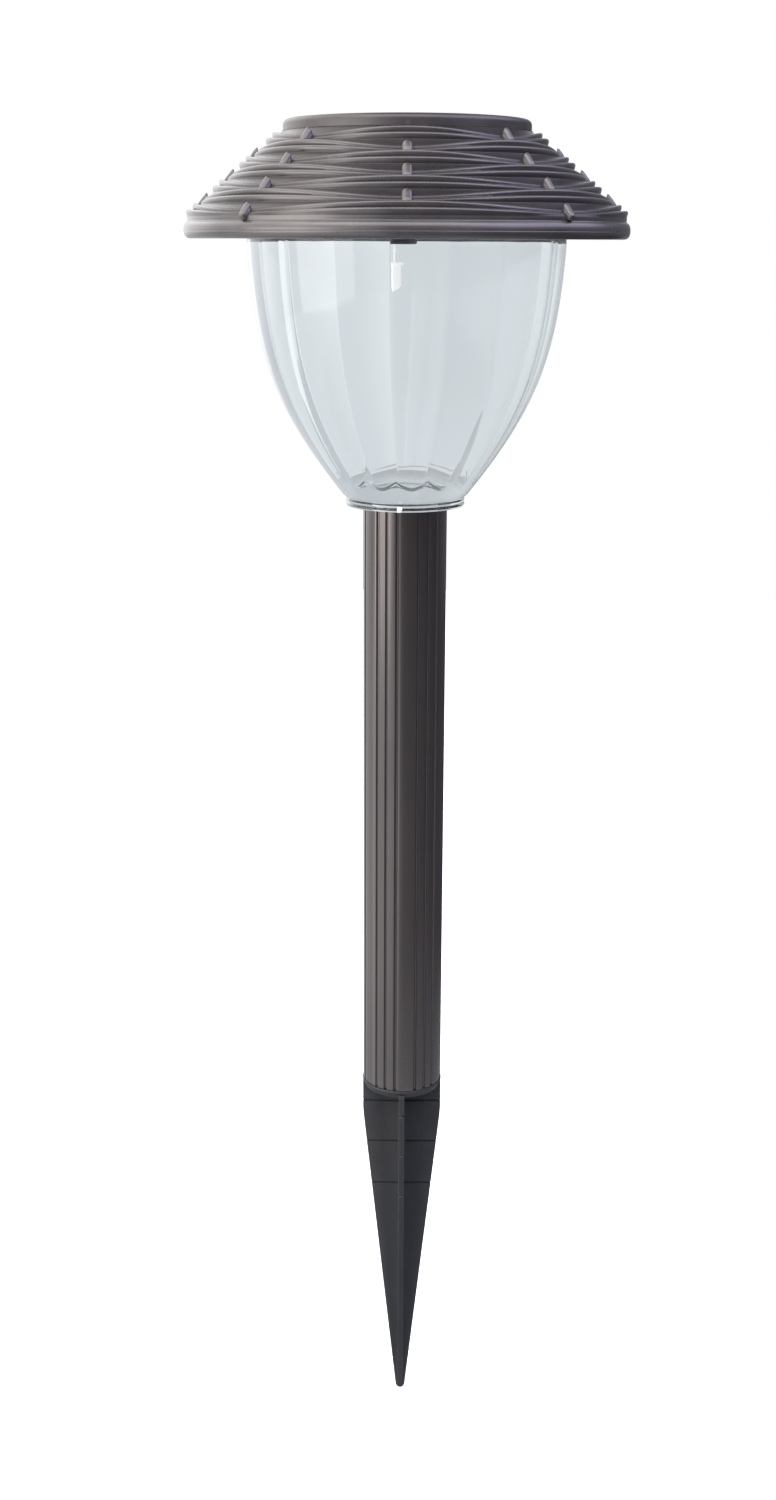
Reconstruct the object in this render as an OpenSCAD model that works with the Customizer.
// Solar garden path light: ground spike, grooved tube pole, clear bell lens
// and a conical basket-weave cap that carries the solar panel and electronics.
// Frame: origin on the pole axis at ground level (underside of the spike's
// flange), +Z up, +X across the lamp.  All sizes in millimetres.

/* [Pole] */
// Outer diameter of the pole tube
pole_d = 25.4; // [25.4:0.1:26]
// Bore of the pole tube
pole_bore_d = 23.0; // [22.8:0.1:23]
// Height of the pole's lower end above ground level
pole_z0 = 2.4; // [2.4:0.1:3]
// Height of the pole's upper end
pole_z1 = 191.5; // [191.5:0.1:191.5]
// Radius of the cutter that rolls each groove
groove_r = 0.47; // [0.3:0.01:0.5]
// Depth of each groove
groove_depth = 0.56; // [0.3:0.02:0.6]
// Groove positions around the pole; every fourth one is left out
groove_steps = 24; // [16:4:24]

/* [Spike] */
// Depth of the spike's tip below ground level
spike_depth = 116.3; // [90:0.1:130]
// Fin thickness
fin_t = 1.9; // [1.6:0.1:3]
// Half width of a fin at the top
fin_half = 12.8; // [11:0.1:12.8]
// Depth at which the fins begin to taper
fin_taper_z = 10; // [5:0.1:12]
// Radius of the flange that the pole stands on
flange_r = 12.9; // [12.7:0.05:12.95]
// Length of the plug inside the pole
plug_len = 30; // [20:1:40]

/* [Lens] */
// Wall thickness of the clear bell
lens_t = 2.0; // [1.6:0.1:2.4]
// Radius of the foot ring
ring_r = 17.95; // [17:0.05:18.5]
// Depth of the lens spigot inside the pole
spigot_len = 15.5; // [10:0.5:20]

/* [Cap] */
// Largest radius, at the rim bead
rim_r = 64.7; // [64.2:0.1:66]
// Height of the rim's lower edge
rim_z = 269.0; // [269:0.1:269]
// Height of the collar's top face, the top of the lamp
top_z = 301.8; // [301.8:0.1:303]
// Radius of the collar round the solar panel
collar_r = 35.7; // [35.7:0.1:35.7]

/* [Weave] */
// Strand thickness
strand_t = 1.4; // [0.8:0.1:1.6]
// Height of the first strand
strand_top = 296.5; // [296.1:0.1:296.9]
// Drop from the first strand of a pair to the second
strand_gap = 1.2; // [1.1:0.05:1.4]
// Drop from one pair of strands to the next
weave_pitch = 3.25; // [3.15:0.05:3.3]
// Number of stakes round the cap
stakes = 8; // [6:2:12]
// Width of a stake end
stub_w = 2.4; // [2:0.1:3]
// Angle by which the odd stakes (of eight) are turned towards the Y axis
stake_shift = 2; // [0:0.5:4]

/* [Solar panel] */
// Side of the square solar panel
panel_w = 45.4; // [40:0.1:45.4]
// Width of one cell strip
cell_w = 10.2; // [8:0.1:10.4]

/* [Battery] */
// Battery diameter
batt_d = 10.5; // [10:0.1:10.5]
// Battery length with its button
batt_len = 44.5; // [43:0.1:44.5]

/* [Lamp] */
// LED diameter
led_d = 5.0; // [4.8:0.1:5]
// LED centre, offset from the lamp's axis along X
led_x = -1.5; // [-6:0.5:0]

/* [Hidden] */
$fn = 96;
gap = 0.02; // clearance between neighbouring pieces
over = 1; // overrun of a cutter past the face it opens
bore_r = pole_bore_d / 2;
plug_r = bore_r - 0.05;

// Seats and levels inside the cap.
deck_z = 296.5;
floor_z = 277.5;
floor_top = floor_z + 2;
lens_top = 276.0;
lens_rim_r = 46.5;
lug_angles = [60, 180, 300];

// Screws that hold the housing in the cap.
screw_r = 40;
screw_angles = [30, 150, 270];
cap_screw_r = 1.25;

// Battery bay, with its length along X.
bay_y = 14;
bay_x0 = -26.2;
bay_x1 = 23.7;
bay_half = 5.7;
bay_top = 290.7;
batt_z = floor_top + 0.45 + batt_d / 2;

// Contact plates at the bay's ends, and the tabs that rise from them.
plate_gap = 0.05;
plate_face = 0.5;
tab_half = 1.6;

// Door hinge, parallel to X.
pin_y = 21.3;
pin_z = 276.1;
pin_r = 0.7;
ear_xs = [-17.6, -9.4, 9.4, 17.6];

// Circuit board, its screws and the slide switch under it.
board_z = 284.0;
board_top = board_z + 1.6;
standoffs = [[-15.5, -22.5], [15.5, -22.5], [15.5, -0.5], [-15.5, -0.5]];
board_screw_r = 0.9;
switch_x = 8;
switch_y = -16;
slot_half_x = 3.6;
slot_half_y = 1.4;

// LED, pointing down.
led_tip = 253.9;
led_base = led_tip + 8.7;
led_hole_r = 3.6;
lead_offset = 1.27;

// ---------------------------------------------------------------- helpers
function unit(v) = v / norm(v);
// The range [low, high] that lies evenly about a middle.
function around(middle, half) = [middle - half, middle + half];
// Point at t (0 to 1) on the cubic Bezier curve with four control points.
function bezier(ctrl, t) = pow(1 - t, 3) * ctrl[0] + 3 * pow(1 - t, 2) * t * ctrl[1]
    + 3 * (1 - t) * t * t * ctrl[2] + t * t * t * ctrl[3];

// Block and X-wise rod; ranges are [low, high].
module box(xs, ys, zs)
    translate([xs[0], ys[0], zs[0]]) cube([xs[1] - xs[0], ys[1] - ys[0], zs[1] - zs[0]]);
module rod(radius, xs, y, z)
    translate([xs[0], y, z]) rotate([0, 90, 0]) cylinder(r = radius, h = xs[1] - xs[0]);
// Upright slab centred on the XZ plane, from its (x, z) outline.
module slab(thickness, outline)
    rotate([90, 0, 0]) translate([0, 0, -thickness / 2]) linear_extrude(thickness)
        polygon(outline);
// Part of a rectangular ring, from a start angle through an arc.
module arc_block(start, arc, rs, zs)
    rotate([0, 0, start]) translate([0, 0, zs[0]]) rotate_extrude(angle = arc)
        polygon([[rs[0], 0], [rs[1], 0], [rs[1], zs[1] - zs[0]], [rs[0], zs[1] - zs[0]]]);

// Round tube swept along a list of points, closed at both ends.
module sweep(path, radius, sides = 8) {
    last = len(path) - 1;
    function tangent(i) = unit(path[min(i + 1, last)] - path[max(i - 1, 0)]);
    function across(t) = unit(cross(t, abs(t[1]) < 0.9 ? [0, 1, 0] : [1, 0, 0]));
    verts = [for (i = [0:last])
        let (t = tangent(i), u = across(t), v = cross(t, u))
        for (k = [0:sides - 1])
            path[i] + radius * (cos(k * 360 / sides) * u + sin(k * 360 / sides) * v)];
    faces = concat(
        [[for (k = [0:sides - 1]) k]],
        [for (i = [0:last - 1]) for (k = [0:sides - 1])
            let (a = i * sides + k, b = i * sides + (k + 1) % sides)
            each [[a, a + sides, b], [b, a + sides, b + sides]]],
        [[for (k = [sides - 1:-1:0]) last * sides + k]]);
    polyhedron(points = verts, faces = faces, convexity = 4);
}

// Pan-head screw standing on its head, with a cross recess underneath.
module screw(head_r, head_h, shank_r, shank_len) {
    recess_half = 0.55 * head_r;
    recess_z = [-0.5, 0.6];
    difference() {
        union() {
            cylinder(r = head_r, h = head_h);
            cylinder(r = shank_r, h = head_h + shank_len);
        }
        box(around(0, recess_half), around(0, 0.25), recess_z);
        box(around(0, 0.25), around(0, recess_half), recess_z);
    }
}

// ----------------------------------------------------------- ground spike
module fin() {
    tip_r = 1.4;
    slab(fin_t, concat(
        [[fin_half, 0.5], [-fin_half, 0.5], [-fin_half, -fin_taper_z]],
        [for (a = [180:20:360]) [tip_r * cos(a), -spike_depth + tip_r + tip_r * sin(a)]],
        [[fin_half, -fin_taper_z]]));
}

// Cruciform spike with a flange at ground level and a hollow, cross-webbed
// plug above it.
module ground_spike() color([0.20, 0.21, 0.23]) {
    plug_top = pole_z0 + plug_len;
    plug_in = plug_r - 2;
    union() {
        for (a = [0, 90]) rotate([0, 0, a]) {
            fin();
            box(around(0, plug_r - 1), around(0, 0.8), [1, plug_top - 6]);
        }
        rotate_extrude() polygon([[0, 0], [flange_r, 0], [flange_r, pole_z0],
            [plug_r, pole_z0], [plug_r, plug_top - 1.5], [plug_r - 1.2, plug_top],
            [plug_in, plug_top], [plug_in, pole_z0], [0, pole_z0]]);
    }
}

// ------------------------------------------------------------------- pole
// Tube with groups of three rolled grooves.
module pole_tube() color([0.36, 0.33, 0.31]) {
    pole_r = pole_d / 2;
    pole_len = pole_z1 - pole_z0;
    first_groove = -100.5; // angle of groove position 0
    difference() {
        translate([0, 0, pole_z0]) cylinder(r = pole_r, h = pole_len);
        translate([0, 0, pole_z0 - over]) cylinder(r = bore_r, h = pole_len + 2 * over);
        for (i = [0:groove_steps - 1]) if (i % 4 != 1)
            rotate([0, 0, first_groove + i * 360 / groove_steps])
                translate([pole_r + groove_r - groove_depth, 0, pole_z0 - over])
                    cylinder(r = groove_r, h = pole_len + 2 * over, $fn = 32);
    }
}

// ------------------------------------------------------------------- lens
// Control points (radius, height) of the bell's outside, bottom to top.
bell_ctrl = [[18.2, 194.2], [38.8, 220.0], [44.5, 235.1], [lens_rim_r, 267.0]];
bell_steps = 18;
function bell(i) = bezier(bell_ctrl, i / bell_steps);
function bell_tangent(i) = unit(bell(i + 0.05) - bell(i - 0.05));
// Inside of the bell, one wall thickness in from the outside.
function bell_in(i) = let (t = bell_tangent(i)) bell(i) + lens_t * [-t[1], t[0]];

// Clear bell with a foot ring, a spigot that plugs into the pole and three
// bayonet lugs near its upper rim.
module lens() color([0.86, 0.88, 0.90, 0.45]) {
    web_top = 198.0; // top of the floor that closes the bell's foot
    web_bottom = web_top - 2.5;
    web_r = 18.2;
    spigot_z = pole_z1 - spigot_len;
    spigot_in = plug_r - 1.55;
    rim_in = lens_rim_r - lens_t;
    lug_arc = 12;
    union() {
        rotate_extrude() polygon(concat(
            // Spigot and foot ring.
            [[spigot_in, spigot_z], [plug_r - 0.4, spigot_z], [plug_r, spigot_z + 0.8],
             [plug_r, pole_z1], [ring_r, pole_z1], [ring_r, pole_z1 + 1.1],
             [ring_r - 0.35, pole_z1 + 1.4], [ring_r - 0.1, pole_z1 + 2.7]],
            // Up the outside, over the rim and down the inside.
            [for (i = [0:bell_steps]) bell(i)],
            [[lens_rim_r, lens_top], [rim_in, lens_top], [rim_in, 267.2]],
            [for (i = [bell_steps - 1:-1:0]) if (bell_in(i)[1] > web_top + 1.5) bell_in(i)],
            [[web_r, web_top], [0, web_top], [0, web_bottom], [spigot_in, web_bottom]]));
        for (a = lug_angles)
            arc_block(a - lug_arc / 2, lug_arc, rs = [lens_rim_r - 0.5, 48.6], zs = [271, 273]);
    }
}

// Flat ring between the lens rim and the housing floor.
module lens_gasket() color([0.12, 0.12, 0.13]) {
    inset = 0.2;
    height = floor_z - lens_top - 2 * gap;
    translate([0, 0, lens_top + gap]) difference() {
        cylinder(r = lens_rim_r - inset, h = height);
        translate([0, 0, -over])
            cylinder(r = lens_rim_r - lens_t + inset, h = height + 2 * over);
    }
}

// -------------------------------------------------------------- cap shell
// Cap cone: outside radius as a function of height.
cone_slope = 1.18;
cone_ref_z = 287.3;
cone_ref_r = 49.1;
cap_t = 2.0;
cap_t_radial = cap_t * sqrt(1 + cone_slope * cone_slope);
function cone_r(z) = cone_ref_r + cone_slope * (cone_ref_z - z);
function cone_point(z) = [cone_r(z), z];
// Unit vectors down the cone and out of it, in the (r, z) plane.
down_cone = unit([cone_slope, -1]);
out_cone = unit([1, cone_slope]);

// Strands run round the cone in pairs; each is a flattened half-round bead.
bead_steps = 5;
bead_flatness = 0.85;
strand_levels = [for (i = [0:6]) for (second = [0, 1])
    strand_top - weave_pitch * i - second * strand_gap];
function bead(z) = [for (k = [0:bead_steps]) let (a = 180 * k / bead_steps)
    cone_point(z)
        + strand_t / 2 * (-cos(a) * down_cone + bead_flatness * sin(a) * out_cone)];

// Stake end whose tip is at height tip_z: near-upright inner edge, outer face
// sloping with the cone, rounded nose.
module stake_end(tip_z, length, height) {
    root = cone_point(tip_z - (height - 0.1) * out_cone[1]);
    // Distance down the cone, distance out of it.
    outline = [
        [0, height - 0.1], [0.5, height + 0.03], [1.4, height + 0.06], [2.8, height],
        [length - 0.9, height - 0.12], [length - 0.25, height - 0.45],
        [length, height - 1.0], [length, -0.8], [1.7, -0.8], [0.95, 0.25], [0.3, 0.95]];
    slab(stub_w, [for (p = outline) root + p[0] * down_cone + p[1] * out_cone]);
}

// Even stakes show three ends; odd ones show four, the lowest longer and flatter.
module stake(odd)
    for (k = [0:(odd ? 3 : 2)])
        stake_end(odd ? 298.1 - 6.6 * k : 294.4 - 6.35 * k,
            length = k == 3 ? 4.2 : 4.1, height = k == 3 ? 1.45 : 1.75);

// Solid that trims the screw bosses to stay within the shell.
module boss_limit() {
    inset = 1.2;
    limit_r = 62.6;
    limit_top = 297;
    rotate_extrude() polygon([[0, rim_z], [limit_r, rim_z], [limit_r, 273.5],
        [cone_r(275) - inset, 275], [cone_r(limit_top) - inset, limit_top], [0, limit_top]]);
}

// Conical shell with moulded strands, stake ends and a rounded rim.
module cap_shell() color([0.36, 0.35, 0.36]) {
    lip_r = collar_r + 0.15;
    deck_in = 31;
    deck_bottom = deck_z - 2;
    rim_in = 62.2;
    difference() {
        union() {
            rotate_extrude() polygon(concat(
                // Deck and the lip round the collar.
                [[deck_in, deck_bottom], [deck_in, deck_z], [lip_r, deck_z], [lip_r, 298.3]],
                [for (z = strand_levels) each bead(z)],
                // Rim, then back up the inside of the cone.
                [[64.0, 274.5], [64.2, 273.4], [rim_r - 0.2, 272.9], [rim_r, 272.0],
                 [rim_r, 270.4], [rim_r - 0.25, 269.5], [rim_r - 0.8, rim_z],
                 [rim_in, rim_z],
                 [rim_in, cone_ref_z - (rim_in + cap_t_radial - cone_ref_r) / cone_slope],
                 [cone_r(deck_bottom) - cap_t_radial, deck_bottom]]));
            for (i = [0:stakes - 1])
                rotate([0, 0, i * 360 / stakes + stake_shift * sin(i * 90)])
                    stake(odd = i % 2 == 1);
            for (a = screw_angles) rotate([0, 0, a])
                intersection() {
                    translate([screw_r, 0, floor_top]) cylinder(r = 2.6, h = 18);
                    boss_limit();
                }
        }
        for (a = screw_angles) rotate([0, 0, a])
            translate([screw_r, 0, floor_top - over])
                cylinder(r = cap_screw_r + gap, h = 8.6);
    }
}

// ------------------------------------------------- top collar and solar panel
panel_z = deck_z + 1.6;
panel_top = panel_z + 1.2;
panel_span = around(0, panel_w / 2);

// Round collar with a square window for the solar panel.
module top_bezel() color([0.30, 0.30, 0.32]) {
    edge_r = 1.5;
    window = panel_w / 2 + 0.3;
    opening = window - 3; // leaves a ledge under the panel
    difference() {
        rotate_extrude() polygon(concat([[0, deck_z], [collar_r, deck_z]],
            [for (a = [0:15:90])
                [collar_r - edge_r + edge_r * cos(a), top_z - edge_r + edge_r * sin(a)]],
            [[0, top_z]]));
        box(around(0, window), around(0, window), [panel_z, top_z + over]);
        box(around(0, opening), around(0, opening), [deck_z - over, deck_z + 3]);
    }
}
module solar_panel_board() color([0.10, 0.25, 0.18])
    box(panel_span, panel_span, [panel_z, panel_top]);
module solar_cells() color([0.07, 0.09, 0.22])
    for (i = [0:3]) translate([(i - 1.5) * (cell_w + 0.7), 0, panel_top + gap])
        box(around(0, cell_w / 2), around(0, 21), [0, 0.25]);
module panel_cover() color([0.80, 0.85, 0.90, 0.35])
    box(panel_span, panel_span, [panel_top + 0.3, top_z - 0.8]);

// ---------------------------------------------------------------- housing
// Tray that closes the cap: floor, bayonet skirt, battery bay, board posts.
module electronics_housing() color([0.16, 0.16, 0.17]) {
    skirt_r = 51.4;
    skirt_in = 49.2;
    skirt_z = 269.4;
    ledge_r = 47.0;
    entry_half = 8; // half angle of the slot between two ledges
    bay_wall = 1.2;
    floor_cut = [floor_z - over, floor_top + over];
    difference() {
        union() {
            // Floor and skirt in one turned profile.
            rotate_extrude() polygon([[0, floor_z], [skirt_in, floor_z],
                [skirt_in, skirt_z], [skirt_r - 0.4, skirt_z], [skirt_r, skirt_z + 0.4],
                [skirt_r, floor_top], [0, floor_top]]);
            // Bayonet ledges with three entry slots, and a stop on each.
            for (a = lug_angles) {
                arc_block(a + entry_half, 120 - 2 * entry_half,
                    rs = [ledge_r, skirt_in + 0.6], zs = [269.6, 270.7]);
                arc_block(a - 28, 3, rs = [ledge_r + 0.3, skirt_in + 0.4], zs = [270.2, 273.8]);
            }
            // Battery bay box.
            box([bay_x0 - bay_wall, bay_x1 + bay_wall], around(bay_y, bay_half + bay_wall),
                [floor_z + 1, bay_top + bay_wall]);
            // Door hinge ears under the floor.
            for (x = ear_xs) {
                rod(1.5, around(x, 1.2), pin_y, pin_z);
                box(around(x, 1), [pin_y - 1, pin_y + 1.3], [pin_z, floor_z + 0.6]);
            }
            // Board posts.
            for (p = standoffs) translate([p.x, p.y, floor_z + 1])
                cylinder(r = 2.1, h = board_z - floor_z - 1);
        }
        box([bay_x0, bay_x1], around(bay_y, bay_half), [floor_z - over, bay_top]);
        // Slots in the bay roof for the contact tabs.
        for (xs = [[bay_x1 - 0.8, bay_x1 + 0.1], [bay_x0 - 0.1, bay_x0 + 0.8]])
            box(xs, around(bay_y, tab_half + 0.2), [bay_top - 1, bay_top + 2]);
        // Holes for the hinge pin, board screws, housing screws and LED holder.
        for (x = ear_xs) rod(pin_r + gap, around(x, 2), pin_y, pin_z);
        for (p = standoffs) translate([p.x, p.y, board_z - 3.4])
            cylinder(r = board_screw_r + gap, h = 5);
        for (a = screw_angles) rotate([0, 0, a])
            translate([screw_r, 0, floor_z - over]) cylinder(r = 1.6, h = 5);
        translate([led_x, 0, floor_z - over]) cylinder(r = led_hole_r, h = 5);
        // Switch slot.
        box(around(switch_x, slot_half_x), around(switch_y, slot_half_y), floor_cut);
    }
}
module housing_screws() color([0.75, 0.75, 0.77]) {
    head_h = 1.6;
    for (a = screw_angles) rotate([0, 0, a])
        translate([screw_r, 0, floor_z - head_h])
            screw(head_r = 2.4, head_h = head_h, shank_r = cap_screw_r, shank_len = 9.4);
}

// ------------------------------------------------------------------- door
module battery_door() color([0.17, 0.17, 0.18]) {
    side_gap = 0.3;
    free_y = bay_y - bay_half + 0.45;
    hinge_y = bay_y + bay_half - 0.45;
    lip_z = floor_z - 1.3;
    difference() {
        union() {
            box([bay_x0 + side_gap, bay_x1 - side_gap], [free_y, hinge_y],
                [floor_z, floor_z + 1.2]);
            // Hinge knuckles, each on a cranked arm.
            for (x = [-13.5, 13.5]) {
                xs = around(x, 2.6);
                rod(1.3, xs, pin_y, pin_z);
                box(xs, [hinge_y - 4, pin_y], [pin_z - 0.2, pin_z + 1.2]);
                box(xs, [hinge_y - 4, hinge_y - 0.3], [pin_z + 1, floor_z + 0.4]);
            }
            // Thumb lip at the free edge.
            box([-6, 6], [free_y, free_y + 1.2], [lip_z, floor_z + 0.4]);
            box([-6, 6], around(free_y, 1.2), [lip_z, floor_z - 0.15]);
        }
        rod(pin_r + 0.05, [-20, 20], pin_y, pin_z);
    }
}
module door_hinge_pin() color([0.75, 0.75, 0.77])
    rod(pin_r, [-19, 19], pin_y, pin_z);

// ---------------------------------------------------------------- battery
// Cell with its button towards +X.
module battery_cell() color([0.20, 0.45, 0.30]) {
    can_r = batt_d / 2;
    button_r = 1.95;
    can_len = batt_len - 0.8;
    translate([-batt_len / 2, bay_y, batt_z]) rotate([0, 90, 0])
        rotate_extrude() polygon([[0, 0], [can_r - 0.5, 0], [can_r, 0.5],
            [can_r, can_len - 0.6], [can_r - 0.6, can_len], [button_r, can_len],
            [button_r, batt_len], [0, batt_len]]);
}
// Contact plate with a narrow tab that rises through the bay roof.
module contact_plate(xs) {
    box(xs, around(0, 4.6), [floor_top + 0.4, bay_top - 0.1]);
    box(xs, around(0, tab_half), [bay_top - 2, bay_top + 3.2]);
}
module battery_contact_positive() color([0.83, 0.78, 0.62])
    translate([bay_x1, bay_y, 0]) {
        contact_plate([-plate_face, -plate_gap]);
        rod(2.2, [-1.4, -0.3], 0, batt_z);
    }
module battery_contact_negative() color([0.83, 0.78, 0.62])
    translate([bay_x0, bay_y, 0]) contact_plate([plate_gap, plate_face]);
// Conical coil spring between the negative plate and the can.
module battery_spring() color([0.80, 0.80, 0.80]) {
    turns = 2.5;
    steps = 40;
    wire_r = 0.35;
    plate_r = 3.9; // coil radius at the plate
    can_r = 2.2; // coil radius at the can
    end_gap = wire_r + 0.07;
    x0 = bay_x0 + plate_face + end_gap;
    x1 = -batt_len / 2 - end_gap;
    sweep([for (i = [0:steps])
        let (t = i / steps, a = turns * 360 * t, coil_r = plate_r + (can_r - plate_r) * t)
        [x0 + (x1 - x0) * t, bay_y + coil_r * cos(a), batt_z + coil_r * sin(a)]],
        wire_r, sides = 6);
}

// ------------------------------------------------------------ electronics
module circuit_board() color([0.10, 0.35, 0.20])
    difference() {
        box([-19, 19], [-26, 3], [board_z, board_top]);
        for (p = standoffs) translate([p.x, p.y, board_z - over]) cylinder(r = 1.2, h = 4);
        for (side = [-1, 1]) translate([led_x + side * lead_offset, 0, board_z - over])
            cylinder(r = 0.45, h = 4);
    }
module board_screws() color([0.75, 0.75, 0.77]) {
    head_h = 1.3;
    for (p = standoffs) translate([p.x, p.y, board_top + head_h]) rotate([180, 0, 0])
        screw(head_r = 1.9, head_h = head_h, shank_r = board_screw_r, shank_len = 4.6);
}
// Chip body with four legs along each long side.
module controller_chip() color([0.08, 0.08, 0.09]) {
    chip_y = -13.5;
    leg_x0 = -7.9;
    leg_pitch = 1.27;
    box([-8.5, -3.5], around(chip_y, 2), [board_top + 0.15, board_top + 1.6]);
    for (i = [0:3]) for (side = [-1, 1])
        box(around(leg_x0 + leg_pitch * i, 0.2), around(chip_y + side * 2.35, 0.6),
            [board_top + 0.01, board_top + 0.4]);
}
// Outlines of the turned parts: radius, height above the part's base.
inductor_outline = [[0, 0], [3.3, 0], [3.3, 0.9], [2.7, 1.1], [2.7, 4.6], [3.3, 4.8],
    [3.3, 5.7], [0, 5.7]];
capacitor_outline = [[0, 0], [2.3, 0], [2.5, 0.2], [2.5, 0.9], [2.3, 1.1], [2.5, 1.3],
    [2.5, 5.2], [2.3, 5.4], [0, 5.4]];
module inductor() color([0.55, 0.30, 0.12])
    translate([6, -9, board_top + gap]) rotate_extrude() polygon(inductor_outline);
module capacitor() color([0.12, 0.14, 0.32])
    translate([-12, -6, board_top + gap]) rotate_extrude() polygon(capacitor_outline);

module switch_body() color([0.75, 0.76, 0.78])
    difference() {
        box(around(switch_x, 5), around(switch_y, 2.5), [floor_top + 0.6, board_z - 0.05]);
        box(around(switch_x, slot_half_x), around(switch_y, slot_half_y),
            [floor_top - over, board_z - 1.2]);
    }
// Slider with three grip ribs underneath.
module switch_slider() color([0.90, 0.90, 0.90]) {
    slider_x = switch_x - 2;
    ys = around(switch_y, 1.1);
    union() {
        box(around(slider_x, 1.3), ys, [floor_z - 1.4, board_z - 1.4]);
        for (i = [-1:1])
            box(around(slider_x + 0.9 * i, 0.2), ys, [floor_z - 1.65, floor_z - 1]);
    }
}

// -------------------------------------------------------------------- LED
// Stepped sleeve that hangs from the housing floor.
module led_holder() color([0.80, 0.80, 0.80]) {
    holder_z = 267.8;
    translate([led_x, 0, 0]) difference() {
        union() {
            translate([0, 0, holder_z]) cylinder(r = 5.0, h = floor_z - holder_z);
            translate([0, 0, holder_z])
                cylinder(r = led_hole_r - 0.03, h = floor_top + 1.4 - holder_z);
        }
        translate([0, 0, holder_z - over]) cylinder(r = 1.8, h = 20);
    }
}
module led_lamp() color([0.92, 0.93, 0.95, 0.6]) {
    led_r = led_d / 2;
    flange = led_r + 0.4;
    translate([led_x, 0, 0]) rotate_extrude() polygon(concat(
        [[0, led_base], [flange, led_base], [flange, led_base - 1], [led_r, led_base - 1]],
        [for (a = [0:10:90]) [led_r * cos(a), led_tip + led_r - led_r * sin(a)]]));
}
module led_leads() color([0.80, 0.80, 0.80])
    for (side = [-1, 1]) translate([led_x + side * lead_offset, 0, led_base + gap])
        cylinder(r = 0.27, h = board_top + 0.8 - led_base, $fn = 24);

// ------------------------------------------------------------------ wires
wire_end_z = board_top + 0.1;
module wire(ctrl) {
    steps = 14;
    sweep([for (i = [0:steps]) bezier(ctrl, i / steps)], radius = 0.6);
}
// Solar panel to board; side is 1 at +X, -1 at -X.
module panel_wire(side)
    wire([[side * 9, -2, deck_z + 1.5], [side * 9, -2, 291], [side * 12, -16, 291.7],
        [side * 12, -16, wire_end_z]]);
// Contact tab to board, by the X of its start, its bend and its board end.
module battery_wire(start_x, bend_x, end_x)
    wire([[start_x, bay_y - 0.4, bay_top + 2.4], [bend_x, 12, bay_top + 2.6],
        [end_x, -8, 291.5], [end_x, -8, wire_end_z]]);

module panel_wire_positive() color([0.75, 0.10, 0.10]) panel_wire(1);
module panel_wire_negative() color([0.10, 0.10, 0.10]) panel_wire(-1);
module battery_wire_positive() color([0.75, 0.10, 0.10])
    battery_wire(start_x = bay_x1 - 1.3, bend_x = 18, end_x = 17);
module battery_wire_negative() color([0.10, 0.10, 0.10])
    battery_wire(start_x = bay_x0 + 1.3, bend_x = -20, end_x = -17);

ground_spike();
pole_tube();
lens();
lens_gasket();
cap_shell();
top_bezel();
solar_panel_board();
solar_cells();
panel_cover();
electronics_housing();
housing_screws();
battery_door();
door_hinge_pin();
battery_cell();
battery_contact_positive();
battery_contact_negative();
battery_spring();
circuit_board();
board_screws();
controller_chip();
inductor();
capacitor();
switch_body();
switch_slider();
led_holder();
led_lamp();
led_leads();
panel_wire_positive();
panel_wire_negative();
battery_wire_positive();
battery_wire_negative();
